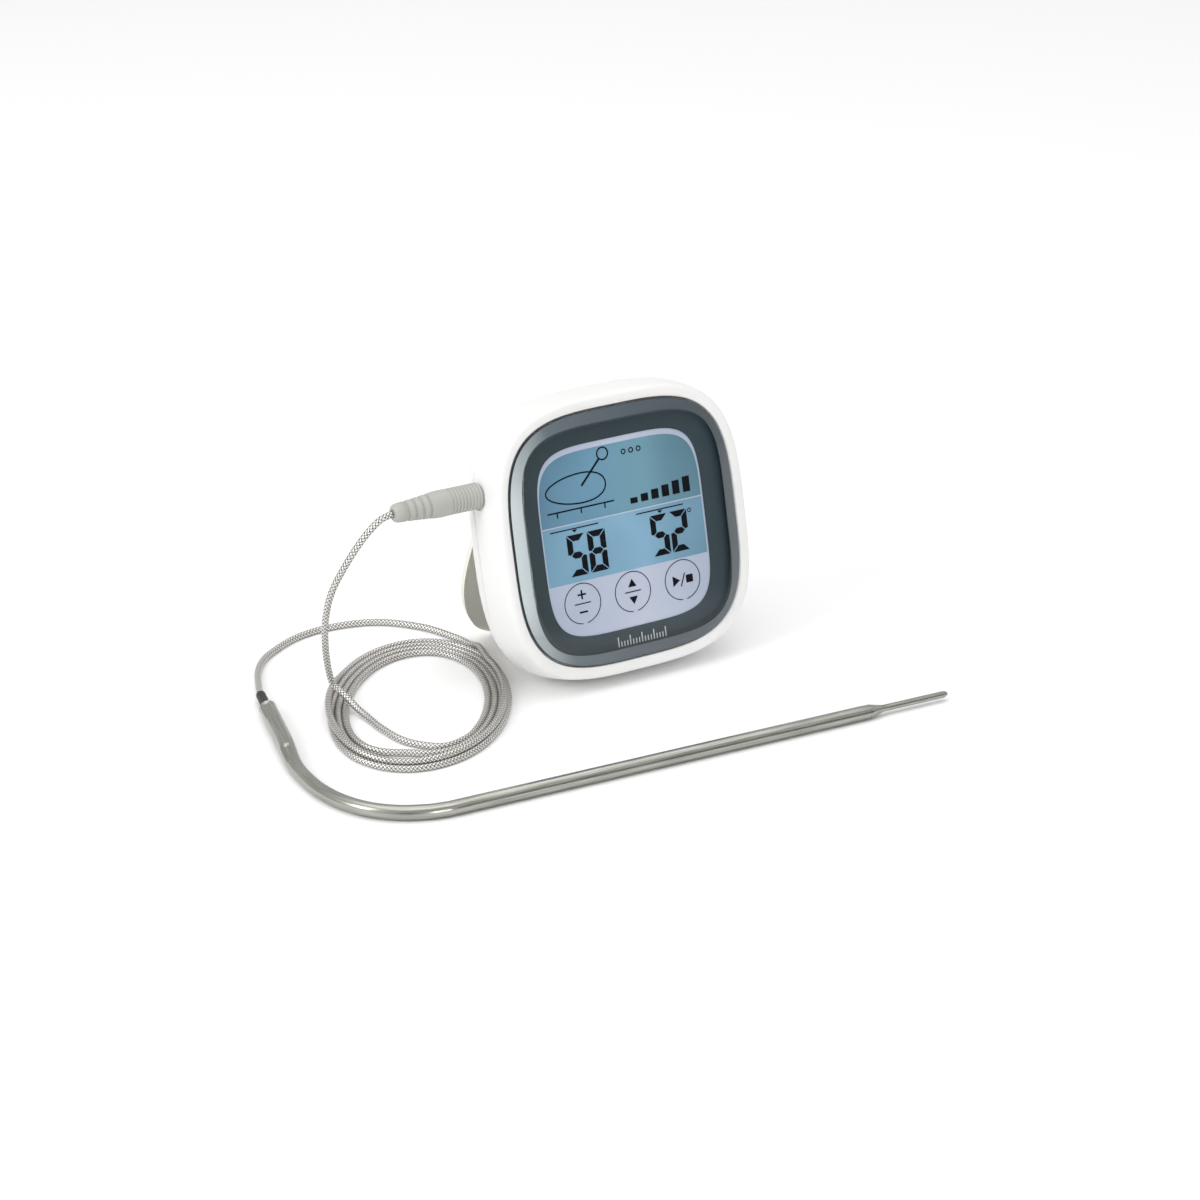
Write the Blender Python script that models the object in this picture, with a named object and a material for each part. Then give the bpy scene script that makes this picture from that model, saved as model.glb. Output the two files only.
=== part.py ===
"""Kitchen probe thermometer: a square tabletop read-out on a fold-out stand,
with a plug-in metal-braided probe lead. Metres, +Z up, the face looks to -Y.

Origin: the middle of the flat strip under the housing. Housing pieces are laid
out in an upright frame (X right, Y depth from the front, Z up the face) hung
from one tilted empty.
"""
import math

import bpy
import bmesh
from mathutils import Vector

MM = 0.001

# ---- overall dimensions (mm) ------------------------------------------------
TILT = math.radians(13.84)          # lean of the face when it stands
FACE_HEIGHT = 41.84                 # middle of the face above the table
FACE_SETBACK = -5.3                 # middle of the face from the origin, along Y
SIDES = 80                          # points round each rounded-square outline
SQUARE = 3.4                        # roundness of the housing outline
LENS_SQUARE = 3.55                  # roundness of the lens outline
FIELD_SQUARE = 4.4                  # roundness of the raised middle of the lens
GAP = 0.3                           # clearance between assembled pieces

# (half size, depth) down the outside of each shell
FRONT_OUTSIDE = [(37.5, 0.0), (38.3, 0.15), (38.8, 0.7), (39.15, 2.0), (39.45, 4.0),
                 (39.9, 8.0), (40.0, 10.5), (40.0, 11.85)]
REAR_OUTSIDE = [(40.0, 12.15), (39.85, 14.0), (39.4, 16.0), (38.6, 18.0), (37.5, 20.5),
                (35.9, 22.4), (34.1, 24.0), (31.7, 25.3), (28.9, 26.3), (25.5, 27.0)]
SHELL_WALL = 2.1
CAVITY_DEPTH = 21.5                 # how far back the electronics space reaches

LEDGE_HALF, LEDGE_FRONT, LEDGE_BACK = 33.6, 3.0, 4.2
LENS_POCKET_HALF, LENS_POCKET_LIP = 35.65, 0.35
LENS_PROFILE = [(34.9, 2.7), (35.3, 2.4), (35.3, 0.4), (35.1, 0.0), (31.9, -1.0),
                (31.3, -1.25)]
LENS_FLAT_FROM = 4                  # rows from here on use the tighter outline

# ---- display stack: (x low, x high), (depth low, depth high), (z low, z high) ----
LCD_PANEL = (-26.5, 26.5), (3.3, 5.8), (-12.5, 25.0)
LCD_BACKLIGHT = (-26.0, 26.0), (6.1, 8.2), (-12.2, 24.8)
LCD_HOLDER = (-27.7, 27.7), (3.2, 8.4), (-13.8, 26.2)
LCD_HOLDER_HOLE = (-26.9, 26.9), (2.0, 9.5), (-12.9, 25.4)
TOUCH_BOARD = (-24.0, 24.0), (3.2, 4.0), (-25.5, -14.6)
TOUCH_PITCH, TOUCH_HEIGHT = 16.34, -16.9
TOUCH_POST_RADIUS, TOUCH_POST_FRONT, TOUCH_POST_BACK = 2.2, 4.3, 8.5
MAIN_BOARD = (-26.6, 26.6), (8.8, 10.0), (-25.0, 26.2)
CONTROL_CHIP = (-16.0, -4.0), (10.3, 11.8), (-10.0, 2.0)
BUZZER_AT, BUZZER_RADIUS = (12.0, -5.0), 6.5
BUZZER_FRONT, BUZZER_BACK, BUZZER_VENT = 10.3, 14.8, 1.0

# ---- batteries ----------------------------------------------------------------
TRAY_OUTSIDE = (-25.9, 25.9), (10.3, 19.5), (11.7, 31.0)
TRAY_INSIDE = (-24.9, 24.9), (11.0, 20.5), (12.5, 32.0)
CELL_DEPTH, CELL_HEIGHTS, CELL_RADIUS = 16.45, (18.0, 28.7), 5.25
CELL_HALF, NUB_RADIUS, NUB_LENGTH = 21.8, 1.9, 0.9
CONTACT_NEAR, CONTACT_FAR = 23.2, 23.7
CONTACT_DEPTH, CONTACT_HEIGHT = (12.0, 19.0), (13.6, 30.6)

# ---- battery door and its opening in the rear shell ---------------------------------
DOOR = (-23.4, 23.4), (17.5, 30.0), (13.2, 33.2)
DOOR_OPENING = (-23.8, 23.8), (16.0, 30.0), (12.6, 33.6)
DOOR_WALL = 2.0
DOOR_PIVOT = (0.0, 26.0, 14.2)

# ---- stand --------------------------------------------------------------------------
STAND_PIVOT = (0.0, 24.8, 9.0)
STAND_HALF_WIDTH, STAND_BOTTOM, STAND_SQUARE = 33.0, 37.6, 4.0
STAND_WALL, STAND_EDGE_DEPTH = 2.4, 18.6
STAND_OPEN = math.radians(38.3)
BARREL_RADIUS, BARREL_HALF = 1.9, 25.0
PIN_RADIUS, PIN_BORE, PIN_HALF = 0.8, 0.87, 28.0
RECESS_CLEAR, RECESS_TOP_CLEAR, RECESS_FLOOR_WALL = 0.4, 1.8, 2.9
PAN_WALL, PAN_OUTSIDE = 1.3, 1.4
BARREL_GROOVE = (-25.4, 25.4), (22.3, 30.0), (6.6, 11.5)

# ---- screws ----------------------------------------------------------------------------
SCREW_AT = {"upper_left": (-30.6, 22.6), "upper_right": (30.6, 22.6),
            "lower_left": (-29.5, -22.0), "lower_right": (29.5, -22.0)}
SHANK_RADIUS, SHANK_FRONT, HEAD_FRONT, HEAD_BACK, HEAD_RADIUS = 1.0, 7.0, 20.0, 21.3, 1.85
POST_RADIUS, POST_FRONT, POST_BORE, POST_BORE_FRONT = 2.3, 3.6, 1.1, 6.7
BOSS_RADIUS, BOSS_BACK, BOSS_BORE, HEAD_SINK, HEAD_SINK_FRONT = 2.7, 21.8, 1.2, 2.15, 19.7

# ---- plug and jack ---------------------------------------------------------------------
PLUG_DEPTH, PLUG_HEIGHT = 9.4, 17.0
SPOTFACE_RADIUS, SPOTFACE_X, HOLE_RADIUS = 4.2, -39.1, 1.6
JACK = (-36.2, -27.95), (6.6, 12.1), (14.3, 19.6)
JACK_BORE, JACK_BORE_END = 1.3, -28.4
PLUG_FACE_X = -39.4
PLUG_SLEEVE = [(0.0, -39.3), (1.25, -39.3), (1.25, -32.6), (0.0, -32.6)]
PLUG_INSULATOR = [(0.0, -32.5), (1.1, -32.5), (1.1, -32.0), (0.0, -32.0)]
PLUG_TIP = [(0.0, -31.9), (1.25, -31.9), (1.25, -31.0), (0.85, -30.4), (1.2, -29.8),
            (1.1, -29.3), (0.4, -28.8), (0.0, -28.8)]
PLUG_GRIP = [(0.0, 0.0), (3.35, 0.0), (3.75, 0.4), (3.75, 11.5), (3.65, 12.8), (3.4, 14.2),
             (2.8, 24.6), (2.6, 25.4), (2.1, 25.95), (0.0, 25.95)]

# ---- cord and probe: (x, y, z) in mm from the origin --------------------------------------
CORD_RADIUS = 0.95
CORD_STEP = 4.5                     # spacing of the curve's points
COIL_MIDDLE, COIL_ANGLE = (-61.0, 3.2), math.radians(56.3)
COIL_HALF_LONG, COIL_HALF_SHORT = 36.6, 23.4
COIL_HALF_WIDE, COIL_HALF_HIGH = 3.6, 2.25
COIL_STEPS, COIL_RINGS = 72, 16
PLUG_RUN = [(-65.65, 7.89, 56.1), (-69.6, 7.8, 54.8), (-74.6, 7.9, 50.4), (-79.4, 8.8, 43.6),
            (-83.0, 10.3, 36.0), (-84.2, 11.9, 28.2), (-84.0, 13.2, 21.1),
            (-82.95, 14.66, 14.2), (-81.8, 15.3, 8.9), (-80.9, 15.3, 6.5)]
PROBE_RUN = [(-29.9, 25.8, 2.0), (-28.6, 30.6, 1.2), (-31.2, 37.6, 0.95), (-37.0, 47.6, 0.95),
             (-46.4, 57.2, 0.95), (-59.2, 60.9, 0.95), (-70.6, 59.6, 0.95),
             (-80.4, 54.6, 0.95), (-86.4, 49.6, 1.05), (-90.7, 43.2, 1.3), (-93.9, 36.2, 1.7),
             (-96.25, 30.3, 1.95), (-96.83, 28.6, 2.0)]
PROBE_RADIUS = 2.0
COLLAR_START = (-96.9, 28.3, 2.0)
COLLAR_RADIUS, COLLAR_LENGTH = 1.6, 9.3
CRIMP = [(0.0, 0.0), (2.1, 0.0), (2.4, 0.4), (2.4, 0.7), (2.1, 1.7), (2.1, 8.3),
         (2.4, 9.3), (2.4, 21.5), (2.2, 21.9), (0.0, 21.9)]
CRIMP_RAISE = 0.4                   # keeps the wider sleeve off the table
SLEEVE_TOWARDS = (-105.9, -9.0)
PROBE_LINE = [(-107.0, -12.5), (-108.0, -18.5), (-108.4, -25.4), (-108.0, -32.6),
              (-106.0, -40.4), (-102.2, -47.4), (-96.4, -52.9), (-89.6, -56.3),
              (-84.2, -57.6)]
PROBE_STRAIGHT_END = (40.2, -65.3)
TIP = [(0.0, 0.0), (1.95, 0.0), (1.95, 0.3), (0.98, 4.6), (0.95, 5.0), (0.95, 24.2),
       (0.7, 24.9), (0.3, 25.2), (0.0, 25.25)]
FOOT_CUT_HALF, FOOT_CUT_DEPTH = 60.0, 10.0

COLOURS = {
    "housing_plastic": ((0.82, 0.82, 0.83), 0.0, 0.38),
    "stand_plastic": ((0.58, 0.56, 0.49), 0.0, 0.5),
    "lens_acrylic": ((0.03, 0.05, 0.06), 0.0, 0.08),
    "display_glass": ((0.26, 0.42, 0.5), 0.0, 0.2),
    "black_plastic": ((0.03, 0.03, 0.03), 0.0, 0.45),
    "diffuser_plastic": ((0.75, 0.78, 0.85), 0.0, 0.4),
    "circuit_board": ((0.02, 0.16, 0.07), 0.0, 0.5),
    "chip_epoxy": ((0.02, 0.02, 0.02), 0.0, 0.6),
    "cell_wrap": ((0.07, 0.09, 0.12), 0.0, 0.35),
    "spring_steel": ((0.5, 0.5, 0.5), 1.0, 0.35),
    "plated_brass": ((0.6, 0.56, 0.46), 1.0, 0.2),
    "insulator_plastic": ((0.02, 0.02, 0.02), 0.0, 0.4),
    "plug_plastic": ((0.55, 0.56, 0.57), 0.0, 0.5),
    "braided_steel": ((0.27, 0.26, 0.25), 1.0, 0.35),
    "shrink_tube": ((0.02, 0.02, 0.02), 0.0, 0.6),
    "probe_steel": ((0.55, 0.55, 0.53), 1.0, 0.22),
}


# ---- small helpers --------------------------------------------------------------------
def material(name):
    found = bpy.data.materials.get(name)
    if found:
        return found
    colour, metallic, roughness = COLOURS[name]
    made = bpy.data.materials.new(name)
    made.use_nodes = True
    shader = made.node_tree.nodes["Principled BSDF"]
    shader.inputs["Base Color"].default_value = (*colour, 1.0)
    shader.inputs["Metallic"].default_value = metallic
    shader.inputs["Roughness"].default_value = roughness
    made.diffuse_color = (*colour, 1.0)
    return made


def empty(name, location, tilt=0.0, parent=None):
    made = bpy.data.objects.new(name, None)
    made.empty_display_size = 5 * MM
    made.location = [c * MM for c in location]
    made.rotation_euler = (tilt, 0.0, 0.0)
    made.parent = parent
    bpy.context.scene.collection.objects.link(made)
    return made


def add_object(name, data, finish, parent):
    made = bpy.data.objects.new(name, data)
    data.materials.append(material(finish))
    made.parent = parent
    bpy.context.scene.collection.objects.link(made)
    return made


def solid(name, points, faces, finish, parent=None):
    """A mesh object from points in mm and faces, turned to face outward."""
    mesh = bpy.data.meshes.new(name)
    mesh.from_pydata([[c * MM for c in p] for p in points], [], faces)
    shape = bmesh.new()
    shape.from_mesh(mesh)
    bmesh.ops.recalc_face_normals(shape, faces=shape.faces)
    shape.to_mesh(mesh)
    shape.free()
    return add_object(name, mesh, finish, parent)


def offset(origin, point):
    return tuple(p - o for p, o in zip(point, origin))


def skin(rows, closed=False):
    """Faces joining equal rows of points; closed joins the last row to the first,
    otherwise the first and last rows are capped."""
    count = len(rows[0])
    faces = []
    last = len(rows) if closed else len(rows) - 1
    for i in range(last):
        a, b = i * count, ((i + 1) % len(rows)) * count
        for j in range(count):
            k = (j + 1) % count
            faces.append((a + j, a + k, b + k, b + j))
    if not closed:
        faces.append(tuple(range(count)))
        faces.append(tuple(range((len(rows) - 1) * count, len(rows) * count)))
    return [p for row in rows for p in row], faces


def rounded_square(half, power, depth):
    row = []
    for i in range(SIDES):
        a = 2 * math.pi * i / SIDES
        c, s = math.cos(a), math.sin(a)
        row.append((math.copysign(abs(c) ** (2 / power), c) * half, depth,
                    math.copysign(abs(s) ** (2 / power), s) * half))
    return row


def box_points(spans, origin=(0.0, 0.0, 0.0)):
    (x0, x1), (y0, y1), (z0, z1) = spans
    rows = [[(x0, y, z0), (x1, y, z0), (x1, y, z1), (x0, y, z1)] for y in (y0, y1)]
    return [[offset(origin, p) for p in row] for row in rows]


def box(name, spans, finish, parent=None, origin=(0.0, 0.0, 0.0)):
    return solid(name, *skin(box_points(spans, origin)), finish, parent)


def turned(name, profile, start, along, finish, parent=None, steps=32):
    """A turned solid: profile is (radius, distance) from start in the direction along."""
    along = Vector(along).normalized()
    side = along.orthogonal().normalized()
    other = along.cross(side)
    start = Vector(start)
    points, faces = [], []
    previous = None
    for radius, distance in profile:
        middle = start + along * distance
        if radius == 0.0:
            ring = [len(points)]
            points.append(tuple(middle))
        else:
            ring = list(range(len(points), len(points) + steps))
            for i in range(steps):
                a = 2 * math.pi * i / steps
                points.append(tuple(middle + (side * math.cos(a) + other * math.sin(a)) * radius))
        if previous:
            for i in range(steps):
                k = (i + 1) % steps
                a = [previous[i], previous[k]] if len(previous) > 1 else [previous[0]]
                b = [ring[k], ring[i]] if len(ring) > 1 else [ring[0]]
                faces.append(tuple(a + b))
        previous = ring
    return solid(name, points, faces, finish, parent)


def rod(name, start, end, radius, finish, parent=None, steps=32):
    length = (Vector(end) - Vector(start)).length
    profile = [(0.0, 0.0), (radius, 0.0), (radius, length), (0.0, length)]
    return turned(name, profile, start, Vector(end) - Vector(start), finish, parent, steps)


def change(target, operation, tool):
    """An exact Boolean on target with a hidden tool."""
    tool.hide_render = True
    tool.display_type = 'WIRE'
    step = target.modifiers.new(operation.lower() + "_" + tool.name, 'BOOLEAN')
    step.operation = operation
    step.solver = 'EXACT'
    step.object = tool


def inset(profile, amount):
    """The profile moved inward by amount along its own normals."""
    moved = []
    for i, (half, depth) in enumerate(profile):
        h0, d0 = profile[max(i - 1, 0)]
        h1, d1 = profile[min(i + 1, len(profile) - 1)]
        length = math.hypot(h1 - h0, d1 - d0)
        moved.append((half - amount * (d1 - d0) / length, depth + amount * (h1 - h0) / length))
    return moved


def shell_solid(name, profile, parent, origin=(0.0, 0.0, 0.0)):
    rows = [[offset(origin, p) for p in rounded_square(h, SQUARE, d)] for h, d in profile]
    return solid(name, *skin(rows), "housing_plastic", parent)


# ---- housing ----------------------------------------------------------------------------
def rear_with_tail(profile):
    """The rear outline carried forward of the split, for use as a cutting solid."""
    return [(profile[0][0], profile[0][1] - 6.0)] + profile


def plug_spotface(name, frame):
    """The flat seat round the plug hole, which both shells share."""
    return rod(name, (SPOTFACE_X, PLUG_DEPTH, PLUG_HEIGHT),
               (SPOTFACE_X - 4, PLUG_DEPTH, PLUG_HEIGHT), SPOTFACE_RADIUS, "housing_plastic",
               frame)


def make_front_shell(frame):
    inner = FRONT_OUTSIDE[-1][0] - SHELL_WALL
    back = FRONT_OUTSIDE[-1][1]
    lens_front = FRONT_OUTSIDE[0][1] + LENS_POCKET_LIP
    rows = [rounded_square(h, SQUARE, d) for h, d in FRONT_OUTSIDE]
    rows += [rounded_square(inner, SQUARE, back), rounded_square(inner, SQUARE, LEDGE_BACK),
             rounded_square(LEDGE_HALF, SQUARE, LEDGE_BACK),
             rounded_square(LEDGE_HALF, SQUARE, LEDGE_FRONT),
             rounded_square(LENS_POCKET_HALF, LENS_SQUARE, LEDGE_FRONT),
             rounded_square(LENS_POCKET_HALF, LENS_SQUARE, lens_front)]
    shell = solid("front_shell", *skin(rows, closed=True), "housing_plastic", frame)
    for place, (x, z) in SCREW_AT.items():
        post = rod("post_" + place, (x, POST_FRONT, z), (x, back - GAP, z), POST_RADIUS,
                   "housing_plastic", frame, 20)
        change(shell, 'UNION', post)
        bore = rod("post_bore_" + place, (x, POST_BORE_FRONT, z), (x, back + 1, z), POST_BORE,
                   "housing_plastic", frame, 20)
        change(shell, 'DIFFERENCE', bore)
    hole = rod("plug_hole", (SPOTFACE_X - 4, PLUG_DEPTH, PLUG_HEIGHT),
               (JACK[0][0] - 0.2, PLUG_DEPTH, PLUG_HEIGHT), HOLE_RADIUS, "housing_plastic",
               frame, 24)
    change(shell, 'DIFFERENCE', plug_spotface("front_spotface", frame))
    change(shell, 'DIFFERENCE', hole)


def stand_outline(clear, front, back, origin):
    """A prism with the stand's rounded outline, cut off square at the hinge line."""
    top = STAND_PIVOT[2] + (RECESS_TOP_CLEAR if clear else 0.0)
    half, bottom = STAND_HALF_WIDTH + clear, STAND_BOTTOM + clear
    edge = []
    count = SIDES // 2
    for i in range(count + 1):
        a = math.pi + math.pi * i / count
        c, s = math.cos(a), math.sin(a)
        edge.append((math.copysign(abs(c) ** (2 / STAND_SQUARE), c) * half,
                     -abs(s) ** (2 / STAND_SQUARE) * bottom))
    edge = [(-half, top)] + edge + [(half, top)]
    rows = [[offset(origin, (x, d, z)) for x, z in edge] for d in (front, back)]
    return skin(rows)


def make_rear_shell(frame):
    zero = (0.0, 0.0, 0.0)
    shell = shell_solid("rear_shell", REAR_OUTSIDE, frame)
    cavity = [(h, d) for h, d in inset(REAR_OUTSIDE, SHELL_WALL) if d < CAVITY_DEPTH - 1]
    cavity = [(cavity[0][0], REAR_OUTSIDE[0][1] - 2)] + cavity[1:]
    last_half, last_depth = cavity[-1]
    cavity.append((last_half - (CAVITY_DEPTH - last_depth) * 0.8, CAVITY_DEPTH))
    change(shell, 'DIFFERENCE', shell_solid("rear_cavity", cavity, frame))
    for place, (x, z) in SCREW_AT.items():
        boss = rod("boss_" + place, (x, REAR_OUTSIDE[0][1], z), (x, BOSS_BACK, z), BOSS_RADIUS,
                   "housing_plastic", frame, 20)
        change(shell, 'UNION', boss)
    # a pan behind the stand, so that its recess never opens into the electronics space
    pan = solid("stand_pan", *stand_outline(RECESS_CLEAR + PAN_WALL,
                                            STAND_EDGE_DEPTH - RECESS_CLEAR - PAN_WALL, 30.0,
                                            zero), "housing_plastic", frame)
    change(pan, 'INTERSECT', shell_solid("stand_pan_outside",
                                         rear_with_tail(inset(REAR_OUTSIDE, PAN_OUTSIDE)), frame))
    change(pan, 'DIFFERENCE', shell_solid("stand_pan_inside", rear_with_tail(
        inset(REAR_OUTSIDE, RECESS_FLOOR_WALL + PAN_WALL)), frame))
    change(shell, 'UNION', pan)
    # the stand's recess: its outline, less what lies deeper than the recess floor
    recess = solid("stand_recess", *stand_outline(RECESS_CLEAR, 15.0, 30.0, zero),
                   "housing_plastic", frame)
    floor = shell_solid("stand_recess_floor",
                        rear_with_tail(inset(REAR_OUTSIDE, RECESS_FLOOR_WALL)), frame)
    change(recess, 'DIFFERENCE', floor)
    below = box("stand_recess_limit", ((-50, 50), (5.0, STAND_EDGE_DEPTH - RECESS_CLEAR),
                                       (-50, 50)), "housing_plastic", frame)
    change(recess, 'DIFFERENCE', below)
    change(shell, 'DIFFERENCE', recess)
    change(shell, 'DIFFERENCE', box("barrel_groove", BARREL_GROOVE, "housing_plastic", frame))
    change(shell, 'DIFFERENCE', rod("pin_seat", (-PIN_HALF - GAP, *STAND_PIVOT[1:]),
                                    (PIN_HALF + GAP, *STAND_PIVOT[1:]), PIN_BORE,
                                    "housing_plastic", frame, 24))
    change(shell, 'DIFFERENCE', box("door_opening", DOOR_OPENING, "housing_plastic", frame))
    for place, (x, z) in SCREW_AT.items():
        bore = rod("boss_bore_" + place, (x, 8.0, z), (x, 24.0, z), BOSS_BORE,
                   "housing_plastic", frame, 20)
        sink = rod("head_sink_" + place, (x, HEAD_SINK_FRONT, z), (x, 32.0, z), HEAD_SINK,
                   "housing_plastic", frame, 20)
        change(shell, 'DIFFERENCE', bore)
        change(shell, 'DIFFERENCE', sink)
    change(shell, 'DIFFERENCE', plug_spotface("rear_spotface", frame))
    change(shell, 'DIFFERENCE', table_cut("housing_foot_cut"))


def table_cut(name):
    """Everything under the table plane, in the upright frame of the part."""
    half = FOOT_CUT_HALF
    return box(name, ((-half, half), (-half, half), (-FOOT_CUT_DEPTH, 0.0)), "housing_plastic")


def make_lens(frame):
    rows = [rounded_square(h, FIELD_SQUARE if i >= LENS_FLAT_FROM else LENS_SQUARE, d)
            for i, (h, d) in enumerate(LENS_PROFILE)]
    solid("lens", *skin(rows), "lens_acrylic", frame)


def make_electronics(frame):
    box("lcd_panel", LCD_PANEL, "display_glass", frame)
    box("lcd_backlight", LCD_BACKLIGHT, "diffuser_plastic", frame)
    holder = box("lcd_holder", LCD_HOLDER, "black_plastic", frame)
    change(holder, 'DIFFERENCE', box("lcd_holder_hole", LCD_HOLDER_HOLE, "black_plastic", frame))
    box("touch_board", TOUCH_BOARD, "circuit_board", frame)
    for place, x in (("left", -TOUCH_PITCH), ("middle", 0.0), ("right", TOUCH_PITCH)):
        rod("touch_post_" + place, (x, TOUCH_POST_FRONT, TOUCH_HEIGHT),
            (x, TOUCH_POST_BACK, TOUCH_HEIGHT), TOUCH_POST_RADIUS, "spring_steel", frame, 20)
    box("main_board", MAIN_BOARD, "circuit_board", frame)
    box("control_chip", CONTROL_CHIP, "chip_epoxy", frame)
    depth = BUZZER_BACK - BUZZER_FRONT
    turned("buzzer", [(0.0, 0.0), (BUZZER_RADIUS, 0.0), (BUZZER_RADIUS, depth - 0.5),
                      (BUZZER_RADIUS - 0.5, depth), (BUZZER_VENT, depth),
                      (BUZZER_VENT, depth - 1.0), (0.0, depth - 1.0)],
           (BUZZER_AT[0], BUZZER_FRONT, BUZZER_AT[1]), (0, 1, 0), "black_plastic", frame)
    jack = box("jack_socket", JACK, "black_plastic", frame)
    change(jack, 'DIFFERENCE', rod("jack_bore", (JACK[0][0] - 1, PLUG_DEPTH, PLUG_HEIGHT),
                                   (JACK_BORE_END, PLUG_DEPTH, PLUG_HEIGHT), JACK_BORE,
                                   "black_plastic", frame, 24))


def make_batteries(frame):
    tray = box("battery_tray", TRAY_OUTSIDE, "black_plastic", frame)
    change(tray, 'DIFFERENCE', box("battery_tray_hollow", TRAY_INSIDE, "black_plastic", frame))
    profile = [(0.0, 0.0), (CELL_RADIUS - 0.5, 0.0), (CELL_RADIUS, 0.5),
               (CELL_RADIUS, 2 * CELL_HALF - 0.5), (CELL_RADIUS - 0.5, 2 * CELL_HALF),
               (NUB_RADIUS, 2 * CELL_HALF), (NUB_RADIUS, 2 * CELL_HALF + NUB_LENGTH),
               (0.0, 2 * CELL_HALF + NUB_LENGTH)]
    for number, (height, way) in enumerate(zip(CELL_HEIGHTS, (1, -1)), 1):
        turned("battery_%d" % number, profile, (-way * CELL_HALF, CELL_DEPTH, height),
               (way, 0, 0), "cell_wrap", frame)
    for side, way in (("left", -1), ("right", 1)):
        near, far = sorted((way * CONTACT_NEAR, way * CONTACT_FAR))
        box("battery_contact_" + side, ((near, far), CONTACT_DEPTH, CONTACT_HEIGHT),
            "spring_steel", frame)


def make_door(frame):
    pivot = empty("battery_door_pivot", DOOR_PIVOT, 0.0, frame)
    door = box("battery_door", DOOR, "housing_plastic", pivot, DOOR_PIVOT)
    outside = shell_solid("door_outside", rear_with_tail(REAR_OUTSIDE), pivot, DOOR_PIVOT)
    inside = shell_solid("door_inside", rear_with_tail(inset(REAR_OUTSIDE, DOOR_WALL)), pivot,
                         DOOR_PIVOT)
    change(door, 'INTERSECT', outside)
    change(door, 'DIFFERENCE', inside)


def make_stand(frame):
    pivot = empty("stand_pivot", STAND_PIVOT, STAND_OPEN, frame)
    stand = solid("stand", *stand_outline(0.0, STAND_EDGE_DEPTH, 30.0, STAND_PIVOT),
                  "stand_plastic", pivot)
    change(stand, 'INTERSECT', shell_solid("stand_outside", rear_with_tail(REAR_OUTSIDE), pivot,
                                           STAND_PIVOT))
    change(stand, 'DIFFERENCE',
           shell_solid("stand_inside", rear_with_tail(inset(REAR_OUTSIDE, STAND_WALL)), pivot,
                       STAND_PIVOT))
    change(stand, 'UNION', rod("stand_barrel", (-BARREL_HALF, 0, 0), (BARREL_HALF, 0, 0),
                               BARREL_RADIUS, "stand_plastic", pivot, 24))
    change(stand, 'DIFFERENCE', rod("stand_bore", (-40, 0, 0), (40, 0, 0), PIN_BORE,
                                    "stand_plastic", pivot, 24))
    change(stand, 'DIFFERENCE', table_cut("stand_foot_cut"))
    rod("stand_pin", (-PIN_HALF, *STAND_PIVOT[1:]), (PIN_HALF, *STAND_PIVOT[1:]), PIN_RADIUS,
        "spring_steel", frame, 24)


def make_screws(frame):
    length, head = HEAD_FRONT - SHANK_FRONT, HEAD_BACK - SHANK_FRONT
    profile = [(0.0, 0.0), (SHANK_RADIUS * 0.5, 0.0), (SHANK_RADIUS, 0.8),
               (SHANK_RADIUS, length), (HEAD_RADIUS, length), (HEAD_RADIUS, head - 0.4),
               (HEAD_RADIUS * 0.7, head), (0.0, head)]
    for place, (x, z) in SCREW_AT.items():
        turned("screw_" + place, profile, (x, SHANK_FRONT, z), (0, 1, 0), "spring_steel", frame,
               20)


# ---- probe lead ----------------------------------------------------------------------------
def make_plug(frame):
    start = (0.0, PLUG_DEPTH, PLUG_HEIGHT)
    for name, profile, finish in (("plug_sleeve", PLUG_SLEEVE, "plated_brass"),
                                  ("plug_insulator", PLUG_INSULATOR, "insulator_plastic"),
                                  ("plug_tip", PLUG_TIP, "plated_brass")):
        turned(name, profile, start, (1, 0, 0), finish, frame, 24)
    turned("plug_grip", PLUG_GRIP, (PLUG_FACE_X, PLUG_DEPTH, PLUG_HEIGHT), (-1, 0, 0),
           "plug_plastic", frame)


def smooth_line(stops, step):
    """Points about a step apart on a smooth curve through the stops."""
    stops = [Vector(p) for p in stops]
    padded = [stops[0] * 2 - stops[1]] + stops + [stops[-1] * 2 - stops[-2]]
    line = [stops[0]]
    for a, b, c, d in zip(padded, padded[1:], padded[2:], padded[3:]):
        pieces = max(1, round((c - b).length / step))
        for i in range(1, pieces + 1):
            t = i / pieces
            line.append(0.5 * (2 * b + (c - a) * t + (2 * a - 5 * b + 4 * c - d) * t ** 2
                               + (3 * b - a - 3 * c + d) * t ** 3))
    return line


def tube(name, line, radius, finish, sides=2):
    curve = bpy.data.curves.new(name, 'CURVE')
    curve.dimensions = '3D'
    curve.resolution_u = 1
    curve.bevel_depth = radius * MM
    curve.bevel_resolution = sides
    curve.use_fill_caps = True
    spline = curve.splines.new('POLY')
    spline.points.add(len(line) - 1)
    for point, place in zip(spline.points, line):
        point.co = (*(place * MM), 1.0)
    return add_object(name, curve, finish, None)


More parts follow.
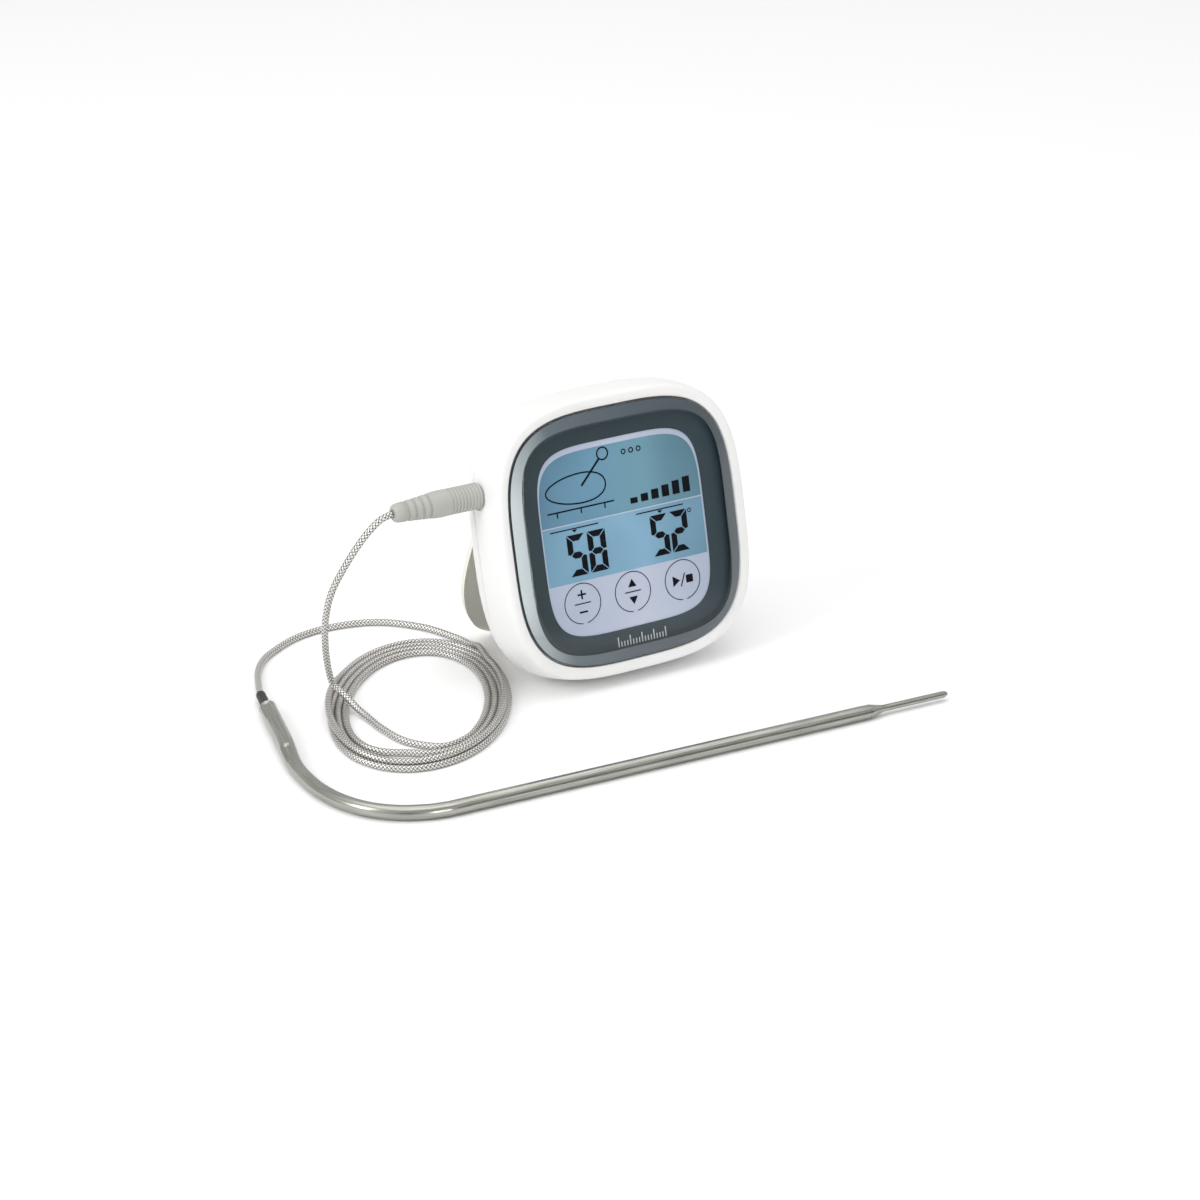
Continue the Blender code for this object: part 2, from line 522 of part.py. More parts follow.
def make_coil():
    long_way = Vector((math.cos(COIL_ANGLE), math.sin(COIL_ANGLE), 0.0))
    short_way = Vector((long_way.y, -long_way.x, 0.0))
    middle = Vector((*COIL_MIDDLE, COIL_HALF_HIGH))
    rows = []
    for i in range(COIL_STEPS):
        a = 2 * math.pi * i / COIL_STEPS
        spine = (middle + long_way * (COIL_HALF_LONG * math.cos(a))
                 + short_way * (COIL_HALF_SHORT * math.sin(a)))
        outward = (long_way * (COIL_HALF_SHORT * math.cos(a))
                   + short_way * (COIL_HALF_LONG * math.sin(a))).normalized()
        row = []
        for j in range(COIL_RINGS):
            b = 2 * math.pi * j / COIL_RINGS
            row.append(tuple(spine + outward * (COIL_HALF_WIDE * math.cos(b))
                             + Vector((0, 0, COIL_HALF_HIGH * math.sin(b)))))
        rows.append(row)
    solid("cord_coil", *skin(rows, closed=True), "braided_steel")


def make_probe():
    line = smooth_line(PROBE_RUN, CORD_STEP)
    tube("cord_probe_run", line, CORD_RADIUS, "braided_steel")
    at = Vector(COLLAR_START)
    along = Vector((*SLEEVE_TOWARDS, at.z)) - at
    along.normalize()
    turned("cord_collar", [(0.0, 0.0), (COLLAR_RADIUS - 0.2, 0.0), (COLLAR_RADIUS, 0.3),
                           (COLLAR_RADIUS, COLLAR_LENGTH), (0.0, COLLAR_LENGTH)],
           at, along, "shrink_tube")
    at = at + along * (COLLAR_LENGTH + 0.1) + Vector((0, 0, CRIMP_RAISE))
    turned("crimp_sleeve", CRIMP, at, along, "probe_steel")
    start = at + along * (CRIMP[-1][1] + GAP)
    bend = [start] + smooth_line([start + along] + [(x, y, PROBE_RADIUS) for x, y in PROBE_LINE],
                                 CORD_STEP)
    end = Vector((*PROBE_STRAIGHT_END, PROBE_RADIUS))
    tube("probe_shaft", bend + [bend[-1].lerp(end, 0.02), bend[-1].lerp(end, 0.5), end],
         PROBE_RADIUS, "probe_steel", 4)
    away = (end - bend[-1]).normalized()
    turned("probe_tip", TIP, end + away * 0.1, away, "probe_steel")


def main():
    for item in list(bpy.data.objects):
        bpy.data.objects.remove(item, do_unlink=True)
    frame = empty("housing_frame", (0.0, FACE_SETBACK, FACE_HEIGHT), -TILT)
    make_front_shell(frame)
    make_rear_shell(frame)
    make_lens(frame)
    make_electronics(frame)
    make_batteries(frame)
    make_door(frame)
    make_stand(frame)
    make_screws(frame)
    make_plug(frame)
    tube("cord_plug_run", smooth_line(PLUG_RUN, CORD_STEP), CORD_RADIUS, "braided_steel")
    make_coil()
    make_probe()


main()
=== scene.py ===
import math

import bmesh
import bpy
from mathutils import Matrix, Vector


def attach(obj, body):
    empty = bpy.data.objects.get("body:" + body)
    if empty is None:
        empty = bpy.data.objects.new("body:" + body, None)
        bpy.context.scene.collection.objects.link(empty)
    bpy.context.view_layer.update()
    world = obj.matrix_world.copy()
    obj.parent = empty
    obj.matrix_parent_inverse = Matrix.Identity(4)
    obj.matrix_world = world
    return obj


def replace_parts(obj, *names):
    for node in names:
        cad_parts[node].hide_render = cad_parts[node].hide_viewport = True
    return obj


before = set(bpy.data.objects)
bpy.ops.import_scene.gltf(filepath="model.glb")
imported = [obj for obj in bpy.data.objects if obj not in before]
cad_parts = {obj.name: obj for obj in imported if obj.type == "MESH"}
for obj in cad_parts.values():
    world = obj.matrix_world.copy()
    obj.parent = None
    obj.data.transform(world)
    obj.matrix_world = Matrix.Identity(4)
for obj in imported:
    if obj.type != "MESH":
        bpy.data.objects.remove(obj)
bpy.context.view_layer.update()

# Everything is laid out in millimetres and placed in metres at the end.
MM = 0.001
TILT = math.radians(13.84)          # how far the housing leans back
STAND_OPEN = math.radians(38.3)
STAND_HINGE = (0.0, 24.8, 9.0)      # in the housing frame
# roundness of the squared outlines: housing, cover, the cover's raised middle, window
HOUSING_SQUARE, COVER_SQUARE, FIELD_SQUARE, WINDOW_SQUARE = 3.4, 3.55, 4.4, 5.0
WINDOW_MIDDLE = (-0.3, -0.1)
ROW = Matrix.Scale(MM, 4)
# housing frame: across, depth behind the front, up the face
FACE = (Matrix.Translation((0.0, -0.0053, 0.04184)) @ Matrix.Rotation(-TILT, 4, 'X')
        @ Matrix.Scale(MM, 4))
# panel frame: across, up the face, height in front of the housing's front
PANEL = FACE @ Matrix.Rotation(math.pi / 2, 4, 'X')

# ---- camera -----------------------------------------------------------------------------
AZIMUTH, ELEVATION = -0.5341877, 0.4165676
lens_data = bpy.data.cameras.new("camera")
lens_data.lens, lens_data.sensor_width = 98.28, 36.0
lens_data.clip_start, lens_data.clip_end = 0.01, 50.0
camera = bpy.data.objects.new("camera", lens_data)
camera.location = (-0.4294, -0.7164, 0.38884)
camera.rotation_euler = (math.pi / 2 - ELEVATION, 0.0, AZIMUTH)
bpy.context.scene.collection.objects.link(camera)
bpy.context.scene.camera = camera


# ---- colours and nodes ------------------------------------------------------------------
def colour(code):
    """An sRGB hex colour as linear values."""
    parts = [int(code[i:i + 2], 16) / 255 for i in (0, 2, 4)]
    return (*[p / 12.92 if p <= 0.04045 else ((p + 0.055) / 1.055) ** 2.4 for p in parts], 1.0)


def add(tree, kind, sockets=(), **settings):
    """One node, with its settings, its values and its links."""
    node = tree.nodes.new(kind)
    for name, value in settings.items():
        setattr(node, name, value)
    for name, value in dict(sockets).items():
        if isinstance(value, bpy.types.NodeSocket):
            tree.links.new(value, node.inputs[name])
        else:
            node.inputs[name].default_value = value
    return node


def finish(name, **sockets):
    """A new material and its tree, its shader and the object's own coordinates."""
    made = bpy.data.materials.new(name)
    made.use_nodes = True
    tree = made.node_tree
    shader = tree.nodes["Principled BSDF"]
    for socket, value in sockets.items():
        shader.inputs[socket.replace("_", " ")].default_value = value
    return made, tree, shader, tree.nodes.new("ShaderNodeTexCoord")


def ramp(tree, factor, stops):
    """Colours along a factor, from (place, hex) stops."""
    node = add(tree, "ShaderNodeValToRGB", {"Fac": factor})
    band = node.color_ramp
    while len(band.elements) < len(stops):
        band.elements.new(1.0)
    for element, (place, code) in zip(band.elements, stops):
        element.position, element.color = place, colour(code)
    return node.outputs["Color"]


def moulded(name, light, dark, roughness, grain, depth, **more):
    """Moulded plastic: a fine spark-eroded grain, and the faint cloudiness of thick walls."""
    made, tree, shader, place = finish(name, Roughness=roughness, IOR=1.5, **more)
    cloud = add(tree, "ShaderNodeTexNoise", {"Vector": place.outputs["Object"],
                                             "Scale": 1 / (28 * MM), "Detail": 2.0})
    tree.links.new(ramp(tree, cloud.outputs["Fac"], [(0.3, dark), (0.7, light)]),
                   shader.inputs["Base Color"])
    texture = add(tree, "ShaderNodeTexNoise", {"Vector": place.outputs["Object"],
                                               "Scale": 1 / (grain * MM), "Detail": 3.0})
    bump = add(tree, "ShaderNodeBump", {"Height": texture.outputs["Fac"], "Strength": 0.35,
                                        "Distance": depth * MM})
    tree.links.new(bump.outputs["Normal"], shader.inputs["Normal"])
    return made


def steel(name, light, dark, roughness, grain, stretch, depth, along="Object"):
    """Drawn steel: hair lines along the tube, which smear the highlights across it."""
    made, tree, shader, place = finish(name, Metallic=1.0, Roughness=roughness)
    turned = add(tree, "ShaderNodeMapping", {"Vector": place.outputs[along], "Scale": stretch})
    lines = add(tree, "ShaderNodeTexNoise", {"Vector": turned.outputs["Vector"],
                                             "Scale": 1 / (grain * MM), "Detail": 4.0})
    tree.links.new(ramp(tree, lines.outputs["Fac"], [(0.3, dark), (0.7, light)]),
                   shader.inputs["Base Color"])
    bump = add(tree, "ShaderNodeBump", {"Height": lines.outputs["Fac"], "Strength": 0.3,
                                        "Distance": depth * MM})
    tree.links.new(bump.outputs["Normal"], shader.inputs["Normal"])
    return made


# White ABS with a satin mould texture: soft broad highlights, no sharp reflections.
WHITE_ABS = moulded("white_abs_satin", "f0f0ef", "ebebe9", 0.42, 0.35, 0.012)
# Natural ABS for the stand: warmer and a little duller than the housing.
NATURAL_ABS = moulded("natural_abs_matt", "f0eee3", "e8e6da", 0.5, 0.35, 0.014)
# Thermoplastic rubber of the plug: pale grey with a soft, waxy sheen.
PLUG_RUBBER = moulded("grey_tpe_soft", "b6b6b0", "aeaea8", 0.5, 0.3, 0.01)
BLACK_ABS = moulded("black_abs_matt", "1c1c1d", "161617", 0.5, 0.3, 0.01)
DIFFUSER = moulded("diffuser_acrylic_milky", "e6ecf6", "dde4f0", 0.45, 0.4, 0.01)
NYLON = moulded("black_nylon_insulator", "18181a", "121214", 0.42, 0.3, 0.008)
EPOXY = moulded("black_moulding_epoxy", "1a1a1b", "131314", 0.6, 0.15, 0.01)
# Cross-linked heat-shrink tube: near black, slightly wrinkled by the heat.
SHRINK = moulded("polyolefin_heat_shrink", "2e2d2c", "211f1f", 0.55, 0.7, 0.06)
# Drawn and polished stainless: neutral steel with long streaks of light and dark.
PROBE_STEEL = steel("stainless_drawn_tube", "b6b6af", "93938c", 0.27, 0.5, (0.04, 1.0, 1.0), 0.004)
# The same steel on the swept stem, whose map runs in millimetres along and in turns around.
STEM_STEEL = steel("stainless_drawn_stem", "b6b6af", "93938c", 0.27, 0.5,
                   (0.04 * MM, 12.6 * MM, 1.0), 0.004, "UV")
SPRING_STEEL = steel("nickel_plated_spring_steel", "c6c4bf", "aaa8a2", 0.32, 0.4, (1, 1, 1), 0.01)
# Zinc plated screws: bright, slightly grainy.
SCREW_STEEL = steel("zinc_plated_screw_steel", "b9bbbd", "9a9c9f", 0.36, 0.2, (1, 1, 1), 0.01)
JACK_METAL = steel("nickel_plated_brass", "cbc6b6", "b5af9d", 0.2, 0.5, (1, 1, 1), 0.006)


def circuit_board():
    """Solder-masked glass epoxy: glossy green over faint copper tracks."""
    made, tree, shader, place = finish("fr4_solder_mask_green", Roughness=0.32, IOR=1.5)
    tracks = add(tree, "ShaderNodeTexBrick", {
        "Vector": place.outputs["Object"], "Scale": 1 / (9 * MM), "Color1": colour("12502b"),
        "Color2": colour("15592f"), "Mortar": colour("1d7040"), "Mortar Size": 0.02})
    tree.links.new(tracks.outputs["Color"], shader.inputs["Base Color"])
    return made


def cell_wrap():
    """Shrink sleeve of an AAA cell: glossy dark film with a copper coloured end band."""
    made, tree, shader, place = finish("pvc_cell_sleeve", Roughness=0.25, IOR=1.5)
    apart = add(tree, "ShaderNodeSeparateXYZ", {"Vector": place.outputs["Object"]})
    band = add(tree, "ShaderNodeMapRange", {"Value": apart.outputs["X"], "From Min": 0.0105,
                                            "From Max": 0.0107})
    tree.links.new(ramp(tree, band.outputs["Result"], [(0.0, "23272c"), (1.0, "b4713c")]),
                   shader.inputs["Base Color"])
    return made


def braided_steel():
    """Stainless over-braid: flat bundles of fine wire crossing over and under each other in a fine
    diagonal check. Its colour follows the weave's height, with painted shade in the grooves between
    the bundles and painted highlights on their crests, besides its bump. The bundles are drawn
    coarser than real ones, so that the crossings show."""
    made, tree, shader, place = finish("stainless_over_braid", Metallic=1.0, Roughness=0.38)
    apart = add(tree, "ShaderNodeSeparateXYZ", {"Vector": place.outputs["UV"]})
    along = add(tree, "ShaderNodeMath", {0: apart.outputs["X"], 1: 5 / 5.5}, operation='MULTIPLY')
    round_ = add(tree, "ShaderNodeMath", {0: apart.outputs["Y"], 1: 5.0}, operation='MULTIPLY')
    ridges, cells = [], []
    for way in ('ADD', 'SUBTRACT'):
        lead = add(tree, "ShaderNodeMath", {0: round_.outputs[0], 1: along.outputs[0]},
                   operation=way)
        turn = add(tree, "ShaderNodeMath", {0: lead.outputs[0], 1: math.pi}, operation='MULTIPLY')
        wave = add(tree, "ShaderNodeMath", {0: turn.outputs[0]}, operation='SINE')
        ridges.append(add(tree, "ShaderNodeMath", {0: wave.outputs[0]}, operation='ABSOLUTE'))
        cells.append(add(tree, "ShaderNodeMath", {0: lead.outputs[0]}, operation='FLOOR'))
    both = add(tree, "ShaderNodeMath", {0: cells[0].outputs[0], 1: cells[1].outputs[0]},
               operation='ADD')
    over = add(tree, "ShaderNodeMath", {0: both.outputs[0], 1: 2.0}, operation='FLOORED_MODULO')
    height = add(tree, "ShaderNodeMix", {0: over.outputs[0], 2: ridges[0].outputs[0],
                                         3: ridges[1].outputs[0]}, data_type='FLOAT')
    # painted shade and highlight: dark in the weave's grooves, near white on its crests
    tree.links.new(ramp(tree, height.outputs[0], [(0.0, "353331"), (0.45, "8a8784"),
                                                  (0.9, "f2f0ec")]),
                   shader.inputs["Base Color"])
    bump = add(tree, "ShaderNodeBump", {"Height": height.outputs[0], "Strength": 0.7,
                                        "Distance": 0.2 * MM})
    tree.links.new(bump.outputs["Normal"], shader.inputs["Normal"])
    return made


def clear_acrylic():
    """Hard-coated clear cover: only its gloss shows, on the side the light comes from, and the
    print below reads through it."""
    made = bpy.data.materials.new("clear_acrylic_cover")
    made.use_nodes = True
    tree = made.node_tree
    tree.nodes.clear()
    through = add(tree, "ShaderNodeBsdfTransparent", {"Color": (0.97, 0.98, 0.98, 1.0)})
    gloss = add(tree, "ShaderNodeBsdfGlossy", {"Color": (1, 1, 1, 1), "Roughness": 0.05})
    fresnel = add(tree, "ShaderNodeFresnel", {"IOR": 1.49})
    facing = add(tree, "ShaderNodeNewGeometry")
    front = add(tree, "ShaderNodeMath", {0: 1.0, 1: facing.outputs["Backfacing"]},
                operation='SUBTRACT')
    share = add(tree, "ShaderNodeMath", {0: fresnel.outputs[0], 1: front.outputs[0]},
                operation='MULTIPLY')
    mixed = add(tree, "ShaderNodeMixShader", {0: share.outputs[0], 1: through.outputs[0],
                                              2: gloss.outputs[0]})
    add(tree, "ShaderNodeOutputMaterial", {"Surface": mixed.outputs[0]})
    return made


def printed_slate():
    """Screen-printed ink behind the cover: dark slate with a slow drift in tone."""
    made, tree, shader, place = finish("slate_screen_print", Roughness=0.4, IOR=1.5)
    drift = add(tree, "ShaderNodeTexNoise", {"Vector": place.outputs["Object"],
                                             "Scale": 1 / (60 * MM), "Detail": 1.0})
    tree.links.new(ramp(tree, drift.outputs["Fac"], [(0.3, "27363d"), (0.7, "2d3d45")]),
                   shader.inputs["Base Color"])
    return made


FILM_REACH, FILM_GLOW = 26 * MM, 0.2


def lit_film(name, stops):
    """A backlit film: its colour drifts from left to right as the light pipe's does, with slow
    clouds in it, and it glows a little."""
    made, tree, shader, place = finish(name, Roughness=0.5, IOR=1.5)
    apart = add(tree, "ShaderNodeSeparateXYZ", {"Vector": place.outputs["Object"]})
    across = add(tree, "ShaderNodeMapRange", {"Value": apart.outputs["X"],
                                              "From Min": -FILM_REACH, "From Max": FILM_REACH,
                                              "To Min": 0.1, "To Max": 0.9})
    slow = add(tree, "ShaderNodeTexNoise", {"Vector": place.outputs["Object"],
                                            "Scale": 1 / (26 * MM), "Detail": 1.0})
    drift = add(tree, "ShaderNodeMapRange", {"Value": slow.outputs["Fac"], "From Min": 0.3,
                                             "From Max": 0.7, "To Min": -0.1, "To Max": 0.1})
    total = add(tree, "ShaderNodeMath", {0: across.outputs[0], 1: drift.outputs[0]},
                operation='ADD', use_clamp=True)
    tone = ramp(tree, total.outputs[0], stops)
    tree.links.new(tone, shader.inputs["Base Color"])
    tree.links.new(tone, shader.inputs["Emission Color"])
    shader.inputs["Emission Strength"].default_value = FILM_GLOW
    return made


def bevel_painted_reflection():
    """Print under the sloping rim, its colour a painted reflection: silver on its left, where the
    light from the left is painted in, falling to the slate of the field round the top and right."""
    made, tree, shader, place = finish("rim_silver_painted_reflection", Roughness=0.34, Metallic=0.25)
    apart = add(tree, "ShaderNodeSeparateXYZ", {"Vector": place.outputs["Object"]})
    across = add(tree, "ShaderNodeMapRange", {"Value": apart.outputs["X"],
                                              "From Min": -35 * MM, "From Max": 35 * MM})
    # painted reflection: silver at the rim's left end, slate round the top and right
    tree.links.new(ramp(tree, across.outputs[0], [(0.0, "b2b9bb"), (0.09, "98a1a4"),
                                                  (0.2, "5a666d"), (0.5, "4a565e"),
                                                  (0.9, "39464e")]),
                   shader.inputs["Base Color"])
    return made


BOARD, CELL, BRAID = circuit_board(), cell_wrap(), braided_steel()
ACRYLIC, SLATE = clear_acrylic(), printed_slate()
# Upper picture zone and lower number zone of the display: grey-blue films over a blue light.
UPPER_FILM = lit_film("lcd_film_steel_blue", [(0.0, "486c84"), (0.4, "5f8aa2"), (0.62, "658f9f"),
                                              (1.0, "456879")])
LOWER_FILM = lit_film("lcd_film_pale_blue", [(0.0, "5c8599"), (0.5, "7ba2bc"), (1.0, "577b8d")])
# Lavender print around the display, lit from behind.
LAVENDER = lit_film("lavender_backlit_print", [(0.0, "9da6ba"), (0.5, "b2b8c9"), (1.0, "9fa8ba")])
# The rim under the cover's slope: grey print with a painted reflection of the light from the left.
RIM_PAINTED_REFLECTION = bevel_painted_reflection()
# Display segments and key print, bonded under the film: near black, with no gloss of their own.
INK = moulded("black_navy_segment_ink", "090c16", "060810", 0.6, 0.5, 0.0,
              Specular_IOR_Level=0.1)
PALE_INK = moulded("pale_grey_printing_ink", "c8ccce", "bcc1c3", 0.5, 0.5, 0.002)


# ---- modelling helpers ------------------------------------------------------------------
def piece(name, shape, place, surface, body, sharp=32.0):
    """The finished mesh as a piece: placed, normals outwards, smooth between sharp edges."""
    bmesh.ops.transform(shape, matrix=place, verts=shape.verts)
    bmesh.ops.remove_doubles(shape, verts=shape.verts, dist=1e-6)
    bmesh.ops.recalc_face_normals(shape, faces=shape.faces)
    mesh = bpy.data.meshes.new(name)
    shape.to_mesh(mesh)
    shape.free()
    return stand_in(name, mesh, surface, body, sharp)


def stand_in(name, mesh, surface, body, sharp=32.0):
    mesh.materials.clear()
    mesh.materials.append(surface)
    mesh.polygons.foreach_set("material_index", [0] * len(mesh.polygons))
    mesh.shade_smooth()
    mesh.set_sharp_from_angle(angle=math.radians(sharp))
    obj = bpy.data.objects.new(name, mesh)
    bpy.context.scene.collection.objects.link(obj)
    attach(obj, body)
    return obj


def smoothed_copy(name, node, surface, body, sharp=32.0):
    """A copy of a frame node with its loose triangles merged, shown in its place."""
    shape = bmesh.new()
    shape.from_mesh(bpy.data.objects[node].data)
    bmesh.ops.remove_doubles(shape, verts=shape.verts, dist=2e-6)
    mesh = bpy.data.meshes.new(name)
    shape.to_mesh(mesh)
    shape.free()
    obj = stand_in(name, mesh, surface, body, sharp)
    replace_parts(obj, node)
    return obj


def cut(obj, cutter):
    """Takes the cutter out of the piece and throws the cutter away."""
    trim = obj.modifiers.new("cut", 'BOOLEAN')
    trim.operation, trim.solver, trim.object = 'DIFFERENCE', 'EXACT', cutter
    bpy.context.view_layer.update()
    done = bpy.data.meshes.new_from_object(obj.evaluated_get(
        bpy.context.evaluated_depsgraph_get()))
    obj.modifiers.remove(trim)
    done.shade_smooth()
    done.set_sharp_from_angle(angle=math.radians(32))
    obj.data = done
    bpy.data.objects.remove(cutter)


def squircle(verts, half, depth, power, middle=(0.0, 0.0), last=(1.0, 1.0, 0.0, 0.0)):
    """Moves a ring of vertices out to a squared circle at a depth."""
    for vert in verts:
        turn = math.atan2((vert.co.z - last[3]) / last[1], (vert.co.x - last[2]) / last[0])
        c, s = math.cos(turn), math.sin(turn)
        reach = (abs(c) ** power + abs(s) ** power) ** (-1 / power)
        vert.co = (middle[0] + half[0] * reach * c, depth, middle[1] + half[1] * reach * s)


def squircle_body(rows, sides=192, closed=True):
    """Squared rings stacked from (half width, half height, depth, power, across, up) rows."""
    shape = bmesh.new()
    ring = bmesh.ops.create_circle(shape, segments=sides, radius=1.0)["verts"]
    bmesh.ops.rotate(shape, verts=ring, matrix=Matrix.Rotation(math.pi / 2, 3, 'X'))
    edges = first = list(shape.edges)
    last = (1.0, 1.0, 0.0, 0.0)
    for number, (wide, high, depth, power, across, up) in enumerate(rows):
        if number:
            grown = bmesh.ops.extrude_edge_only(shape, edges=edges)["geom"]
            ring = [e for e in grown if isinstance(e, bmesh.types.BMVert)]
            edges = [e for e in grown if isinstance(e, bmesh.types.BMEdge)
                     and all(v in set(ring) for v in e.verts)]
        squircle(ring, (wide, high), depth, power, (across, up), last)
        last = (wide, high, across, up)
    if closed:
        bmesh.ops.bridge_loops(shape, edges=first + edges)
    else:
        bmesh.ops.contextual_create(shape, geom=first)
        bmesh.ops.contextual_create(shape, geom=edges)
    return shape


def same(rows, power):
    """Square rows, as wide as they are high, from (half size, depth) pairs."""
    return [(r, r, depth, power, 0.0, 0.0) for r, depth in rows]


def lathe(profile, steps=64):
    """A closed solid turned about Z from (radius, height) points."""
    shape = bmesh.new()
    verts = [shape.verts.new((r, 0.0, h)) for r, h in profile]
    edges = [shape.edges.new(pair) for pair in zip(verts, verts[1:])]
    bmesh.ops.spin(shape, geom=verts + edges, axis=(0, 0, 1), cent=(0, 0, 0), steps=steps,
                   angle=2 * math.pi, use_merge=True)
    bmesh.ops.remove_doubles(shape, verts=shape.verts, dist=1e-4)
    return shape


def aim(start, way):
    """Puts a turned solid's start at a point, with its axis along a direction."""
    return (Matrix.Translation(Vector(start) * MM)
            @ Vector(way).to_track_quat('Z', 'Y').to_matrix().to_4x4() @ Matrix.Scale(MM, 4))


def smooth_line(stops, step):
    """Points about a step apart on a smooth curve through the stops."""
    stops = [Vector(p) for p in stops]
    padded = [stops[0] * 2 - stops[1]] + stops + [stops[-1] * 2 - stops[-2]]
    line = [stops[0]]
    for a, b, c, d in zip(padded, padded[1:], padded[2:], padded[3:]):
        pieces = max(1, round((c - b).length / step))
        for i in range(1, pieces + 1):
            t = i / pieces
            line.append(0.5 * (2 * b + (c - a) * t + (2 * a - 5 * b + 4 * c - d) * t ** 2
                               + (3 * b - a - 3 * c + d) * t ** 3))
    return line


def grow(shape, edges, order):
    """The next ring of edges out of this one, its vertices keeping their numbers."""
    before = {tuple(vert.co): i for vert, i in order.items()}
    grown = bmesh.ops.extrude_edge_only(shape, edges=edges)["geom"]
    order = {e: before[tuple(e.co)] for e in grown if isinstance(e, bmesh.types.BMVert)}
    edges = [e for e in grown if isinstance(e, bmesh.types.BMEdge)
             and e.verts[0] in order and e.verts[1] in order]
    return edges, order


def swept(line, radii, sides, squeeze=None):
    """A round tube along a line, capped, with a UV map: millimetres along, turns around."""
    shape = bmesh.new()
    ring = bmesh.ops.create_circle(shape, segments=sides, radius=1.0)["verts"]
    edges = list(shape.edges)
    order = {vert: i for i, vert in enumerate(ring)}
    normal = None
    where = {}
    gone = 0.0
    for number, at in enumerate(line):
        ahead = (line[min(number + 1, len(line) - 1)] - line[max(number - 1, 0)]).normalized()
        if normal is None:
            normal = Vector((0, 0, 1)) - ahead * ahead.z
        normal = (normal - ahead * normal.dot(ahead)).normalized()
        side = ahead.cross(normal)
        if number:
            gone += (at - line[number - 1]).length
            edges, order = grow(shape, edges, order)
        for vert, spot in order.items():
            turn = 2 * math.pi * spot / sides
            out = normal * math.cos(turn) + side * math.sin(turn)
            reach = radii[number] if isinstance(radii, list) else radii
            if squeeze:
                reach *= squeeze(gone, out)
            vert.co = at + out * reach
            where[vert] = (gone, spot / sides)
    sheet = shape.loops.layers.uv.new("UVMap")
    for face in shape.faces:
        turns = [where[loop.vert][1] for loop in face.loops]
        wrap = max(turns) - min(turns) > 0.5
        for loop in face.loops:
            u, v = where[loop.vert]
            loop[sheet].uv = (u, v + 1.0 if wrap and v < 0.5 else v)
    bmesh.ops.holes_fill(shape, edges=shape.edges, sides=sides)
    return shape


# ---- the lead: down from the plug, round the coil, out to the probe -----------------------
LEAD_RADIUS = 0.95
PLUG_RUN = [(-65.65, 7.89, 56.1), (-69.6, 7.8, 54.8), (-74.6, 7.9, 50.4), (-79.4, 8.8, 43.6),
            (-83.0, 10.3, 36.0), (-84.2, 11.9, 28.2), (-84.0, 13.2, 21.1),
            (-82.95, 14.66, 14.2), (-81.8, 15.3, 8.9)]
INTO_COIL = [(-80.75, 15.1, 6.2), (-79.0, 11.9, 3.9), (-77.9, 7.0, 1.9), (-77.2, 1.0, 1.05),
             (-77.0, -5.1, 0.95), (-75.6, -14.0, 0.95), (-72.2, -19.9, 0.95),
             (-66.9, -23.6, 0.95)]
PROBE_RUN = [(-30.3, 25.6, 1.95), (-30.6, 30.0, 1.0), (-31.9, 36.2, 0.95), (-36.6, 47.4, 0.95),
             (-46.2, 57.2, 0.95), (-59.1, 60.9, 0.95), (-70.6, 59.6, 0.95),
             (-80.4, 54.6, 0.95), (-86.4, 49.6, 1.05), (-90.7, 43.2, 1.3), (-93.9, 36.2, 1.7),
             (-96.25, 30.3, 1.95), (-96.83, 28.6, 2.0)]
COIL_MIDDLE = Vector((-61.0, 3.9, 0.0))
LONG_WAY, SHORT_WAY = Vector((0.5548, 0.8320, 0.0)), Vector((0.8320, -0.5548, 0.0))


def ease(t):
    t = min(max(t, 0.0), 1.0)
    return t * t * (3 - 2 * t)


def coil_point(degrees):
    """The lead's middle on the coil: four turns side by side, then the last on top of them."""
    lane = sum(ease((degrees - start) / 90) for start in (60, 420, 780))
    climb = ease((degrees - 1140) / 90)
    lane -= 0.5 * climb
    here = degrees % 360
    gap = 1.9 * (1 + 0.42 * math.exp(-((here - 165) / 42) ** 2)
                 + 0.25 * math.exp(-(min(abs(here - 10), 370 - here) / 40) ** 2))
    out = -0.15 + gap * (lane - 1.5) + 0.7 * math.sin(math.radians(2 * degrees + 40))
    out -= 4.2 * math.exp(-((degrees - 182) / 26) ** 2)      # the first pass lies a little loose
    height = LEAD_RADIUS
    if climb > 0:
        near = gap * min(abs(lane - 2 - climb), abs(lane - 1 - climb))
        height += math.sqrt(max(0.0, 1.9 ** 2 - near ** 2))
    turn = math.radians(degrees)
    return (COIL_MIDDLE + LONG_WAY * ((36.0 + out) * math.cos(turn))
            - SHORT_WAY * ((22.4 + out) * math.sin(turn)) + Vector((0, 0, height)))


route = smooth_line(PLUG_RUN + INTO_COIL + [coil_point(d) for d in range(-128, 1404, 12)]
                    + PROBE_RUN, 1.0)
lead = piece("braided_lead", swept(route, LEAD_RADIUS, 14), ROW, BRAID, "probe_lead",
             60)
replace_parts(lead, "cord_plug_run", "cord_coil", "cord_probe_run")


